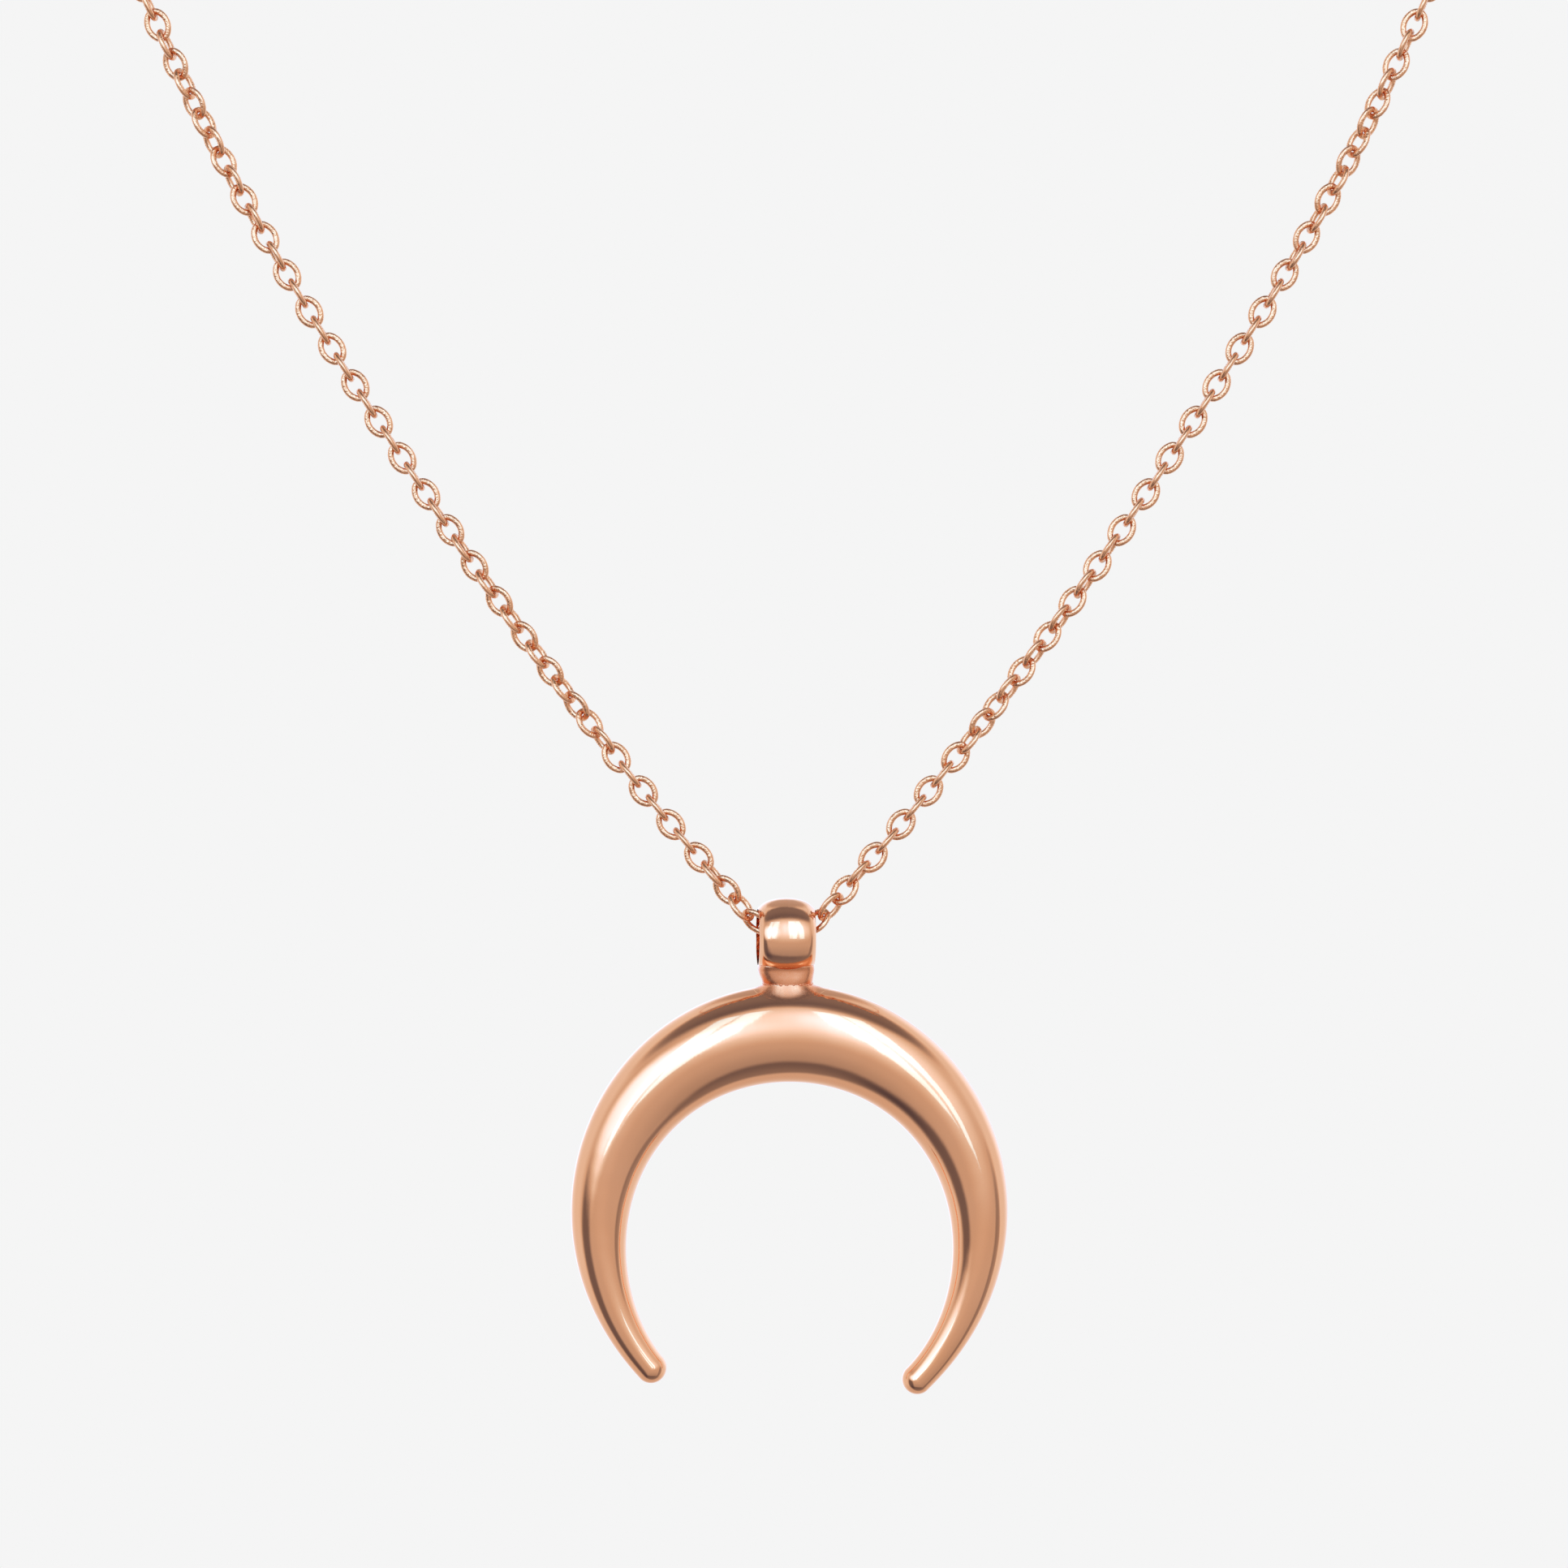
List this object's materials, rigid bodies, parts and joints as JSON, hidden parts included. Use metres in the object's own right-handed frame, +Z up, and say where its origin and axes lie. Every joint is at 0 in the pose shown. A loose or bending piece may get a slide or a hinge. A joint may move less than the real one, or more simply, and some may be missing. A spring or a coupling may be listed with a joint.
{
  "type": "pendant necklace",
  "caption": "Fine oval-link chain necklace whose front hangs in a V through a domed bail, carrying a rounded open crescent pendant with its horns pointing down; lobster clasp at the nape.",
  "frame": {"origin": "middle of the chain's loop round the neck, as worn", "axes": "+Z up, along the neck; the pendant hangs below and its front faces -Y; +X to the viewer's right"},
  "size_m": [0.1166, 0.1005, 0.1358],
  "materials": {
    "chain_gold": "polished",
    "pendant_gold": "polished",
    "bail_gold": "polished",
    "solder_gold": "polished",
    "clasp_gold": "polished",
    "rivet_gold": "polished"
  },
  "bodies": {
    "neck_chain": {"left_shoulder": "chain_gold", "right_shoulder": "chain_gold", "left_nape": "chain_gold", "right_nape": "chain_gold", "claw_body": "clasp_gold", "claw_rivet": "rivet_gold", "claw_ring": "clasp_gold", "catch_ring": "clasp_gold"},
    "v_level_1": {"left_leg_1": "chain_gold", "right_leg_1": "chain_gold"},
    "v_level_2": {"left_leg_2": "chain_gold", "right_leg_2": "chain_gold"},
    "v_level_3": {"left_leg_3": "chain_gold", "right_leg_3": "chain_gold"},
    "v_level_4": {"left_leg_4": "chain_gold", "right_leg_4": "chain_gold"},
    "v_level_5": {"left_leg_5": "chain_gold", "right_leg_5": "chain_gold"},
    "pendant": {"bail": "bail_gold", "solder_saddle": "solder_gold", "crescent": "pendant_gold"},
    "clasp_gate": {"claw_lever": "clasp_gold"}
  },
  "joints": [
    {"name": "v_swing_1", "type": "hinge", "parent": "neck_chain", "child": "v_level_1", "pos_m": [0, -0.036, -0.02423], "axis": [1, 0, 0], "range_deg": [-12, 12]},
    {"name": "v_swing_2", "type": "hinge", "parent": "v_level_1", "child": "v_level_2", "pos_m": [0, -0.036, -0.03919], "axis": [1, 0, 0], "range_deg": [-12, 12]},
    {"name": "v_swing_3", "type": "hinge", "parent": "v_level_2", "child": "v_level_3", "pos_m": [0, -0.036, -0.05353], "axis": [1, 0, 0], "range_deg": [-12, 12]},
    {"name": "v_swing_4", "type": "hinge", "parent": "v_level_3", "child": "v_level_4", "pos_m": [0, -0.036, -0.06716], "axis": [1, 0, 0], "range_deg": [-12, 12]},
    {"name": "v_swing_5", "type": "hinge", "parent": "v_level_4", "child": "v_level_5", "pos_m": [0, -0.036, -0.08025], "axis": [1, 0, 0], "range_deg": [-10, 10]},
    {"name": "pendant_swing", "type": "hinge", "parent": "v_level_5", "child": "pendant", "pos_m": [0, -0.036, -0.09173], "axis": [1, 0, 0], "range_deg": [-45, 45]},
    {"name": "clasp_gate_pivot", "type": "hinge", "parent": "neck_chain", "child": "clasp_gate", "pos_m": [-0.00139, 0.06, 0.01602], "axis": [0, 1, 0], "range_deg": [0, 25], "stiffness_Nm_per_rad": 0.0002, "springref_deg": -11.46}
  ]
}
